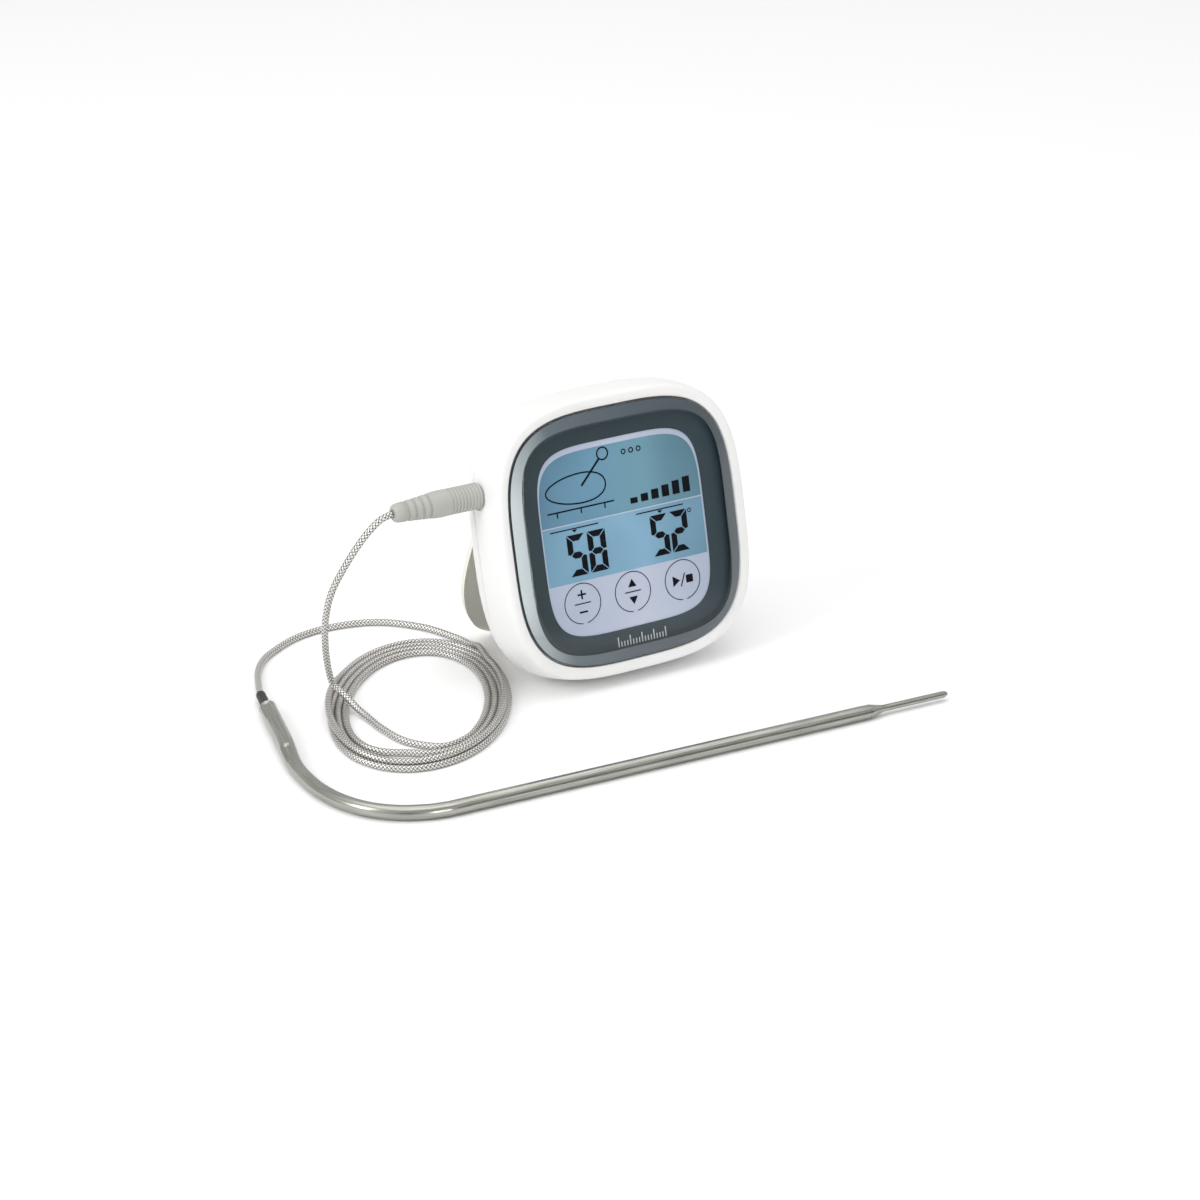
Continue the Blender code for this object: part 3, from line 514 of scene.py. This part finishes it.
# ---- housing ----------------------------------------------------------------------------
def housing_front():
    """White front half: a rounded brow round the cover, leaning out to the parting line."""
    outside = [(36.6, 0.0), (37.4, 0.0), (37.9, 0.06), (38.3, 0.24), (38.65, 0.62),
               (38.9, 1.15), (39.1, 1.9), (39.28, 3.0), (39.45, 4.2), (39.65, 5.9),
               (39.85, 7.8), (39.96, 9.6), (40.0, 11.2), (40.0, 11.86), (39.86, 12.02),
               (38.0, 12.06)]
    inside = [(37.7, 8.0), (37.3, 4.4), (33.7, 4.2), (33.7, 3.0)]
    pocket = [(35.62, 3.0), (35.62, 0.5), (35.72, 0.22), (35.98, 0.05)]
    shape = squircle_body(same(inside, HOUSING_SQUARE) + same(pocket, COVER_SQUARE)
                          + same(outside, HOUSING_SQUARE))
    obj = piece("housing_front", shape, FACE, WHITE_ABS, "housing", 40)
    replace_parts(obj, "front_shell")
    for radius, start, length in ((4.2, -39.1, 3.0), (1.6, -30.0, 12.0)):
        hole = bmesh.new()
        bmesh.ops.create_cone(hole, segments=64, radius1=radius, radius2=radius, depth=length,
                              cap_ends=True)
        bmesh.ops.transform(hole, verts=hole.verts, matrix=FACE @ Matrix.Translation(
            (start - length / 2, 9.4, 17.0)) @ Matrix.Rotation(math.pi / 2, 4, 'Y'))
        mesh = bpy.data.meshes.new("hole")
        hole.to_mesh(mesh)
        hole.free()
        cutter = bpy.data.objects.new("hole", mesh)
        bpy.context.scene.collection.objects.link(cutter)
        cut(obj, cutter)
    return obj


housing_front()
smoothed_copy("housing_rear", "rear_shell", WHITE_ABS, "housing")

# (half size, depth) round the back of the housing, from the parting line to the flat
REAR_SIDE = [(40.0, 12.15), (39.85, 14.0), (39.4, 16.0), (38.6, 18.0), (37.5, 20.5),
             (35.9, 22.4), (34.1, 24.0), (31.7, 25.3), (28.9, 26.3), (25.5, 27.0)]


def rear_line(wall):
    """The back's profile as (half size, depth) points, a wall's thickness inside it."""
    line = smooth_line([(*p, 0.0) for p in REAR_SIDE], 0.8)
    ways = [(b - a).normalized() for a, b in zip(line, line[1:] + [line[-1] * 2 - line[-2]])]
    return [at + Vector((-way.y, way.x, 0.0)) * wall for at, way in zip(line, ways)]


def rear_depth(across, up, line):
    """How deep such a profile lies at a place on the back."""
    reach = (abs(across) ** HOUSING_SQUARE + abs(up) ** HOUSING_SQUARE) ** (1 / HOUSING_SQUARE)
    for a, b in zip(line, line[1:]):
        if b.x <= reach <= a.x:
            return b.y + (a.y - b.y) * (reach - b.x) / (a.x - b.x)
    return line[-1].y if reach < line[-1].x else line[0].y


def curved_plate(outline, middle, wall, limit):
    """A plate with the curve of the housing's back, inside to outside, its outer edge eased."""
    shape = bmesh.new()
    ring = bmesh.ops.create_circle(shape, segments=len(outline), radius=1.0)["verts"]
    edges, order = list(shape.edges), {vert: i for i, vert in enumerate(ring)}
    steps = (0.12, 0.3, 0.48, 0.64, 0.78, 0.88, 0.94, 0.975)
    outer, inner = rear_line(0.0), rear_line(wall)
    stages = ([(t, inner, 0.0) for t in steps] + [(1.0, inner, 0.0), (1.0, outer, 0.5),
                                                  (0.995, outer, 0.16), (0.985, outer, 0.02)]
              + [(t, outer, 0.0) for t in reversed(steps)])
    for number, (share, profile, drop) in enumerate(stages):
        if number:
            edges, order = grow(shape, edges, order)
        for vert, spot in order.items():
            x, z = (m + (p - m) * share for m, p in zip(middle, outline[spot]))
            vert.co = (x, max(limit, rear_depth(x, z, profile) - drop), z)
    bmesh.ops.holes_fill(shape, edges=shape.edges, sides=len(outline))
    return shape


def swing_stand():
    """Curved flap with a hinge barrel across its top, resting its foot on the table."""
    outline = []
    for i in range(72):
        turn = math.pi + math.pi * i / 71
        c, s = math.cos(turn), math.sin(turn)
        outline.append((math.copysign(abs(c) ** 0.5, c) * 33.0, -abs(s) ** 0.5 * 37.6))
    outline += [(33.0, up) for up in (2.0, 5.0, 8.2)]
    outline += [(x, 9.0) for x in (32.2, 22.0, 11.0, 0.0, -11.0, -22.0, -32.2)]
    outline += [(-33.0, up) for up in (8.2, 5.0, 2.0)]
    shape = curved_plate(outline, (0.0, -12.0), 1.8, 18.8)
    bmesh.ops.translate(shape, verts=shape.verts, vec=-Vector(STAND_HINGE))
    barrel = lathe([(0.87, -25.0), (1.7, -25.0), (1.9, -24.8), (1.9, 24.8), (1.7, 25.0),
                    (0.87, 25.0), (0.87, -25.0)], 48)
    bmesh.ops.rotate(barrel, verts=barrel.verts, matrix=Matrix.Rotation(math.pi / 2, 3, 'Y'))
    mesh = bpy.data.meshes.new("barrel")
    barrel.to_mesh(mesh)
    barrel.free()
    shape.from_mesh(mesh)
    bpy.data.meshes.remove(mesh)
    bmesh.ops.transform(shape, verts=shape.verts, matrix=FACE @ Matrix.Translation(
        STAND_HINGE) @ Matrix.Rotation(STAND_OPEN, 4, 'X'))
    everything = list(shape.verts) + list(shape.edges) + list(shape.faces)
    foot = bmesh.ops.bisect_plane(shape, geom=everything, plane_co=(0, 0, 0),
                                  plane_no=(0, 0, -1), clear_outer=True)
    bmesh.ops.holes_fill(shape, edges=[e for e in foot["geom_cut"]
                                       if isinstance(e, bmesh.types.BMEdge)], sides=0)
    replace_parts(piece("swing_stand", shape, Matrix(), NATURAL_ABS, "stand"),
                "stand")


def rear_battery_door():
    """Door over the cells, flush with the housing's back, with a thumb grip of low ribs."""
    outline = []
    for i in range(144):
        c, s = math.cos(math.tau * i / 144), math.sin(math.tau * i / 144)
        reach = (abs(c) ** 14 + abs(s) ** 14) ** (-1 / 14)
        outline.append((23.4 * reach * c, 23.2 + 10.0 * reach * s))
    shape = curved_plate(outline, (0.0, 23.2), 2.0, 17.5)
    for i in range(5):
        rib = bmesh.new()
        bmesh.ops.create_cone(rib, segments=24, radius1=0.4, radius2=0.4, depth=9.0 - 0.8 * i,
                              cap_ends=True)
        bmesh.ops.bevel(rib, geom=[e for e in rib.edges if e.is_boundary is False
                                   and e.calc_face_angle(0) > 1.2], offset=0.2, segments=3,
                        profile=0.5, affect='EDGES', material=-1)
        bmesh.ops.transform(rib, verts=rib.verts, matrix=Matrix.Translation(
            (0.0, 26.86, 16.4 + 1.2 * i)) @ Matrix.Rotation(math.pi / 2, 4, 'Y'))
        mesh = bpy.data.meshes.new("rib")
        rib.to_mesh(mesh)
        rib.free()
        shape.from_mesh(mesh)
        bpy.data.meshes.remove(mesh)
    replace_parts(piece("rear_battery_door", shape, FACE, WHITE_ABS, "battery_door"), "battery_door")


swing_stand()
rear_battery_door()


# ---- cover and display --------------------------------------------------------------------
def plate(name, half, power, front, back, middle, surface, hole=None):
    """A flat squared plate on the panel, with a squared window in it if asked for."""
    rows = [(*half, depth, power, *middle) for depth in (front, back)]
    if hole:
        wide, high, corner, centre = hole
        rows = [(wide, high, depth, corner, *centre) for depth in (back, front)] + rows
    return piece(name, squircle_body(rows, closed=bool(hole)), FACE, surface, "housing", 25)


cover_rows = (same([(30.7, -1.25), (31.2, -1.25), (31.45, -1.22), (31.7, -1.14),
                    (31.95, -1.0)], FIELD_SQUARE)
              + same([(35.05, -0.06), (35.2, 0.05), (35.3, 0.3), (35.3, 2.4), (34.9, 2.7)],
                     COVER_SQUARE))
cover = piece("lens_clear", squircle_body(cover_rows, closed=False), FACE, ACRYLIC, "housing",
              25)
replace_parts(cover, "lens")
plate("lens_mask", (35.15, 35.15), COVER_SQUARE, 0.7, 0.78, (0.0, 0.0), SLATE,
      hole=(25.9, 26.6, WINDOW_SQUARE, WINDOW_MIDDLE))
plate("window_film", (26.4, 27.1), WINDOW_SQUARE, 0.9, 1.0, WINDOW_MIDDLE, LAVENDER)


# Layer under the cover's slope; its silver on the left is a painted reflection.
rim_rows = (same([(31.75, -0.97)], FIELD_SQUARE)
            + same([(35.0, 0.0), (35.0, 0.1)], COVER_SQUARE)
            + same([(31.75, -0.87)], FIELD_SQUARE))
piece("lens_rim_print", squircle_body(rim_rows), FACE, RIM_PAINTED_REFLECTION, "housing", 25)


def display_zone(name, low, high, surface):
    """One printed zone of the display: the outline, trimmed to a band."""
    shape = squircle_body([(25.4, 24.9, 0.86, 5.0, -0.3, 0.0), (25.4, 24.9, 0.89, 5.0, -0.3, 0.0)],
                          closed=False)
    for level, way in ((low, -1), (high, 1)):
        everything = list(shape.verts) + list(shape.edges) + list(shape.faces)
        trimmed = bmesh.ops.bisect_plane(shape, geom=everything, plane_co=(0, 0, level),
                                         plane_no=(0, 0, way), clear_outer=True)
        bmesh.ops.holes_fill(shape, edges=[e for e in trimmed["geom_cut"]
                                           if isinstance(e, bmesh.types.BMEdge)], sides=0)
    return piece(name, shape, FACE, surface, "housing", 25)


display_zone("display_upper", 5.42, 30.0, UPPER_FILM)
display_zone("display_lower", -10.85, 5.08, LOWER_FILM)


# ---- printed and lit marks: drawn flat on the panel, then given a hair of thickness ----------
def ribbon(shape, line, width):
    """A flat stroke along a line of (across, up) points."""
    line = [Vector(p) for p in line]
    edges, order = None, None
    for number, at in enumerate(line):
        ahead = line[min(number + 1, len(line) - 1)] - line[max(number - 1, 0)]
        side = Vector((-ahead.y, ahead.x)).normalized() * (width / 2)
        ends = [(*(at + side), 0.0), (*(at - side), 0.0)]
        if edges is None:
            edges = [shape.edges.new([shape.verts.new(p) for p in ends])]
            order = {vert: i for i, vert in enumerate(edges[0].verts)}
            continue
        edges, order = grow(shape, edges, order)
        for vert, end in order.items():
            vert.co = ends[end]


DIGITS = {"5": "afgcd", "8": "abcdefg", "2": "abged"}


def digit(shape, which, left, bottom, wide, high, thick):
    """A seven-segment figure of heavy bars, mitred where they meet."""
    gap, right, top, middle = 0.2, left + wide, bottom + high, bottom + high / 2
    centre = left + wide / 2
    flat = [(left + gap, top), (right - gap, top), (right - thick - gap, top - thick),
            (left + thick + gap, top - thick)]
    upright = [(left, top - gap), (left + thick, top - thick - gap),
               (left + thick, middle + thick / 2 + gap), (left + thick / 2, middle + gap),
               (left, middle + gap + 0.25)]
    waist = [(left + thick / 2 + gap, middle), (left + thick + gap, middle + thick / 2),
             (right - thick - gap, middle + thick / 2), (right - thick / 2 - gap, middle),
             (right - thick - gap, middle - thick / 2), (left + thick + gap, middle - thick / 2)]
    bars = {"a": (flat, 1, 1), "d": (flat, 1, -1), "g": (waist, 1, 1), "f": (upright, 1, 1),
            "b": (upright, -1, 1), "e": (upright, 1, -1), "c": (upright, -1, -1)}
    for name in DIGITS[which]:
        corners, flip, tip = bars[name]
        bmesh.ops.contextual_create(shape, geom=[
            shape.verts.new((centre + (x - centre) * flip, middle + (y - middle) * tip, 0.0))
            for x, y in corners])


def patch(shape, *points):
    """A flat filled shape through its corners."""
    bmesh.ops.contextual_create(shape, geom=[shape.verts.new((*p, 0.0)) for p in points])


def arc(middle, radius, start, end, steps):
    return [(middle[0] + radius * math.cos(math.radians(start + (end - start) * i / steps)),
             middle[1] + radius * math.sin(math.radians(start + (end - start) * i / steps)))
            for i in range(steps + 1)]


def inked(name, shape, front, surface):
    """Gives flat marks their thickness and lays them on the panel at a depth."""
    bmesh.ops.translate(shape, verts=shape.verts, vec=(0, 0, -front))
    for face in shape.faces:
        if face.normal.z < 0:
            face.normal_flip()
    base = list(shape.faces)
    grown = bmesh.ops.extrude_face_region(shape, geom=base)["geom"]
    bmesh.ops.translate(shape, verts=[v for v in grown if isinstance(v, bmesh.types.BMVert)],
                        vec=(0, 0, 0.02))
    return piece(name, shape, PANEL, surface, "housing", 25)


def probe_in_roast(shape, across, up):
    """A plain sign: a probe with a round head, pushed into a joint on a rack."""
    joint = [(across + 9.4 * math.cos(t) - 0.9 * math.cos(2 * t), up + 4.1 * math.sin(t))
             for t in (math.tau * i / 72 for i in range(73))]
    ribbon(shape, joint, 0.42)
    ribbon(shape, [(across - 10.5, up - 5.4), (across + 10.5, up - 5.4)], 0.42)
    for foot in (-7.5, 0.0, 7.5):
        ribbon(shape, [(across + foot, up - 5.6), (across + foot, up - 6.9)], 0.42)
    ribbon(shape, arc((across + 8.6, up + 8.1), 1.7, 0, 360, 40), 0.42)
    ribbon(shape, [(across + 7.3, up + 6.8), (across + 1.0, up + 0.5)], 0.6)


def display_marks():
    """The sign, a rising row of level bars, pointers over the two readings, and the figures."""
    shape = bmesh.new()
    probe_in_roast(shape, -13.0, 14.6)
    for i in range(6):
        left, tall = 2.6 + 3.4 * i, 1.6 + 0.55 * i
        patch(shape, (left, 7.2), (left + 2.3, 7.2), (left + 2.3, 7.2 + tall), (left, 7.2 + tall))
    for across in (2.2, 4.6, 7.0):
        ribbon(shape, arc((across, 22.0), 0.62, 0, 360, 24), 0.34)
    for across in (-15.85, 11.4):
        ribbon(shape, [(across - 7.6, 4.0), (across + 7.6, 4.0)], 0.34)
        patch(shape, (across - 0.9, 3.7), (across + 0.9, 3.7), (across, 2.9))
    for left, figure in ((-18.7, "5"), (-12.25, "8")):
        digit(shape, figure, left, -9.2, 5.7, 11.5, 1.75)
    for left, figure in ((7.9, "5"), (14.15, "2")):
        digit(shape, figure, left, -8.9, 5.6, 11.5, 1.75)
    ribbon(shape, arc((20.75, 1.95), 0.5, 0, 360, 20), 0.26)
    return inked("display_marks", shape, 0.84, INK)


KEYS_ACROSS, KEY_HEIGHT = (-16.1, -0.07, 16.05), -17.0


def key_marks():
    """Three round keys: more over less, up over down, and run with stop."""
    shape = bmesh.new()
    for across in KEYS_ACROSS:
        ribbon(shape, arc((across, KEY_HEIGHT), 5.62, -82, 264, 90), 0.24)
    for across in KEYS_ACROSS[:2]:
        ribbon(shape, [(across - 2.55, KEY_HEIGHT), (across + 2.55, KEY_HEIGHT)], 0.3)
    ribbon(shape, [(-17.4, -14.5), (-14.8, -14.5)], 0.5)
    ribbon(shape, [(-16.1, -15.8), (-16.1, -14.75)], 0.5)
    ribbon(shape, [(-16.1, -14.25), (-16.1, -13.2)], 0.5)
    ribbon(shape, [(-17.4, -19.4), (-14.8, -19.4)], 0.5)
    patch(shape, (-1.4, -15.6), (1.26, -15.6), (-0.07, -13.4))
    patch(shape, (-1.4, -18.4), (1.26, -18.4), (-0.07, -20.6))
    patch(shape, (12.9, -15.5), (12.9, -18.5), (15.2, -17.0))
    ribbon(shape, [(15.4, -18.8), (16.9, -15.2)], 0.34)
    patch(shape, (17.2, -15.9), (19.4, -15.9), (19.4, -18.1), (17.2, -18.1))
    return inked("key_marks", shape, 0.86, INK)


def scale_marks():
    """A plain row of ticks under the window."""
    shape = bmesh.new()
    for i in range(17):
        tall = 2.8 if i % 4 == 0 else 1.5
        across = 1.0 + (i - 8) * 0.95
        ribbon(shape, [(across, -31.5), (across, -31.5 + tall)], 0.34)
    return inked("scale_marks", shape, 0.68, PALE_INK)


display_marks()
key_marks()
scale_marks()


# ---- plug ---------------------------------------------------------------------------------
def plug_body():
    """Soft moulded plug: fine grip rings, a plain collar, and a ribbed tail for the lead."""
    profile = [(0.0, 0.0), (3.2, 0.0), (3.5, 0.1), (3.66, 0.35)]
    for i in range(9):
        at = 0.75 + i * 1.02
        profile += [(3.66, at), (3.42, at + 0.12), (3.42, at + 0.4), (3.66, at + 0.52)]
    profile += [(3.7, 10.4), (3.72, 12.2), (3.66, 13.4), (3.55, 14.4)]
    for i in range(4):
        at = 15.2 + i * 2.15
        radius = 3.42 - i * 0.2
        profile += [(radius, at), (radius - 0.42, at + 0.22), (radius - 0.42, at + 0.6),
                    (radius - 0.06, at + 0.95)]
    profile += [(2.68, 24.2), (2.55, 25.0), (2.3, 25.55), (1.9, 25.85), (1.4, 25.93),
                (1.1, 25.8), (1.02, 25.4), (0.0, 25.4)]
    obj = piece("plug_body", lathe(profile, 96), aim((-39.4, 7.89, 56.1), (-1, 0, 0)),
                PLUG_RUBBER, "probe_lead", 50)
    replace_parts(obj, "plug_grip")
    return obj


plug_body()

# ---- probe --------------------------------------------------------------------------------
COLLAR_START = Vector((-96.9, 28.3, 2.0))
SLEEVE_TOWARDS = Vector((-105.9, -9.0, 2.0))
BEND = [(-107.0, -12.5), (-108.0, -18.5), (-108.4, -25.4), (-108.0, -32.6), (-106.0, -40.4),
        (-102.2, -47.4), (-96.4, -52.9), (-89.6, -56.3), (-84.2, -57.6)]
STRAIGHT_END = Vector((40.2, -65.3, 2.0))
lie = (SLEEVE_TOWARDS - COLLAR_START).normalized()


def shrink_collar():
    """Short shrink tube over the joint, slightly waisted where it grips the lead."""
    profile = [(0.0, 0.0), (1.1, 0.0), (1.3, 0.15), (1.36, 0.8), (1.3, 2.2), (1.36, 3.4),
               (1.32, 4.6), (1.42, 6.2), (1.52, 7.8), (1.6, 9.0), (1.5, 9.3), (0.0, 9.3)]
    obj = piece("shrink_collar", lathe(profile, 48), aim(COLLAR_START, lie), SHRINK,
                "probe_lead", 50)
    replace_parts(obj, "cord_collar")
    return obj


def probe_stem():
    """The long tube: its wide end is pressed flat in two places, then it narrows, rounds its
    bend and runs straight to the thin point. Gives the way the straight part runs."""
    start = COLLAR_START + lie * 9.4
    line = [start, start + lie * 11.0, start + lie * 21.5] + [
        Vector((x, y, 2.0)) for x, y in BEND]
    line = smooth_line(line, 0.5)
    bend_end = line[-1]
    line += [bend_end.lerp(STRAIGHT_END, i / 60) for i in range(1, 61)]
    gone, radii = 0.0, []
    for number, at in enumerate(line):
        gone += (at - line[number - 1]).length if number else 0.0
        radius = 2.4 - 0.4 * ease((gone - 27) / 24)
        radii.append(radius * (0.86 + 0.14 * min(1.0, gone / 0.6)))
        at.z = radius
    radii[-1] = 1.94

    def squeeze(gone, out):
        # the flats are pressed from above, leaning to the left
        facing = max(0.0, out.dot(Vector((-0.42, -0.12, 0.9)).normalized()))
        inside = sum(ease((gone - low) / 0.8) * ease((high - gone) / 0.8)
                     for low, high in ((0.5, 9.4), (27.0, 35.8)))
        level = 0.74
        return 1 - inside * (1 - level / facing) if facing > level else 1.0

    obj = piece("probe_stem", swept(line, radii, 72, squeeze), ROW, STEM_STEEL, "probe_lead",
                40)
    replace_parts(obj, "probe_shaft", "crimp_sleeve")
    return (STRAIGHT_END - bend_end).normalized()


straight = probe_stem()
shrink_collar()
point = piece("probe_point", lathe([(0.0, 0.0), (1.93, 0.0), (1.95, 0.25), (1.7, 1.3),
                                    (1.3, 3.0), (1.04, 4.2), (0.96, 4.7), (0.95, 5.4),
                                    (0.95, 23.6), (0.86, 24.3), (0.62, 24.9), (0.3, 25.2),
                                    (0.0, 25.25)], 48),
              aim(STRAIGHT_END + straight * 0.1, straight), PROBE_STEEL, "probe_lead",
              30)
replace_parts(point, "probe_tip")

# ---- screws and the frame's own nodes -------------------------------------------------------
for corner in ("upper_left", "upper_right", "lower_left", "lower_right"):
    bpy.data.objects["screw_" + corner].material_slots[0].material = SCREW_STEEL

NODE_FINISHES = {
    "lcd_panel": BLACK_ABS, "lcd_backlight": DIFFUSER, "lcd_holder": BLACK_ABS,
    "touch_board": BOARD, "touch_post_left": SPRING_STEEL, "touch_post_middle": SPRING_STEEL,
    "touch_post_right": SPRING_STEEL, "main_board": BOARD, "control_chip": EPOXY,
    "buzzer": BLACK_ABS, "jack_socket": BLACK_ABS, "battery_tray": BLACK_ABS,
    "battery_1": CELL, "battery_2": CELL, "battery_contact_left": SPRING_STEEL,
    "battery_contact_right": SPRING_STEEL, "stand_pin": SPRING_STEEL,
    "plug_sleeve": JACK_METAL, "plug_insulator": NYLON, "plug_tip": JACK_METAL,
}
for node, surface in NODE_FINISHES.items():
    for held in bpy.data.objects[node].material_slots:
        held.material = surface

# ---- floor, light -----------------------------------------------------------------------
floor_shape = bmesh.new()
bmesh.ops.create_grid(floor_shape, x_segments=1, y_segments=1, size=3.0)
floor_mesh = bpy.data.meshes.new("floor")
floor_shape.to_mesh(floor_mesh)
floor_shape.free()
paper, paper_tree, paper_shader, paper_place = finish("white_paper_sweep", Roughness=0.9)
paper_grain = add(paper_tree, "ShaderNodeTexNoise", {"Vector": paper_place.outputs["Object"],
                                                     "Scale": 3.0})
paper_tree.links.new(ramp(paper_tree, paper_grain.outputs["Fac"],
                          [(0.0, "fbfbfb"), (1.0, "fdfdfd")]), paper_shader.inputs["Base Color"])
floor_mesh.materials.append(paper)
floor = bpy.data.objects.new("floor", floor_mesh)
bpy.context.scene.collection.objects.link(floor)


def softbox(name, place, target, size, power):
    light = bpy.data.lights.new(name, 'AREA')
    light.shape, light.size, light.size_y = 'RECTANGLE', *size
    light.energy = power
    obj = bpy.data.objects.new(name, light)
    obj.location = place
    obj.rotation_euler = (Vector(target) - Vector(place)).to_track_quat('-Z', 'Y').to_euler()
    bpy.context.scene.collection.objects.link(obj)


softbox("front", (-0.12, -1.05, 0.17), (-0.02, 0, 0.04), (0.3, 0.3), 1.8)
softbox("left", (-1.0, -0.1, 0.6), (0, 0, 0.03), (0.4, 0.6), 4.2)
softbox("top", (0.0, 0.0, 1.4), (0, 0, 0), (1.6, 1.6), 9.0)
# A long black flag behind the camera, low down: steel needs something dark to mirror.
flag_shape = bmesh.new()
bmesh.ops.create_grid(flag_shape, x_segments=1, y_segments=1, size=1.0)
bmesh.ops.transform(flag_shape, verts=flag_shape.verts,
                    matrix=Matrix.Translation((0.25, -1.7, 0.34))
                    @ Matrix.Rotation(math.pi / 2, 4, 'X') @ Matrix.Diagonal((1.7, 0.32, 1, 1)))
flag_mesh = bpy.data.meshes.new("flag")
flag_shape.to_mesh(flag_mesh)
flag_shape.free()
flag_mesh.materials.append(BLACK_ABS)
flag = bpy.data.objects.new("flag", flag_mesh)
flag.visible_camera = False
bpy.context.scene.collection.objects.link(flag)
world = bpy.data.worlds.new("studio")
world.use_nodes = True
world.node_tree.nodes["Background"].inputs["Color"].default_value = (1, 1, 1, 1)
world.node_tree.nodes["Background"].inputs["Strength"].default_value = 0.7
bpy.context.scene.world = world
# colours come out as mixed, with white as white
bpy.context.scene.view_settings.view_transform = 'Standard'
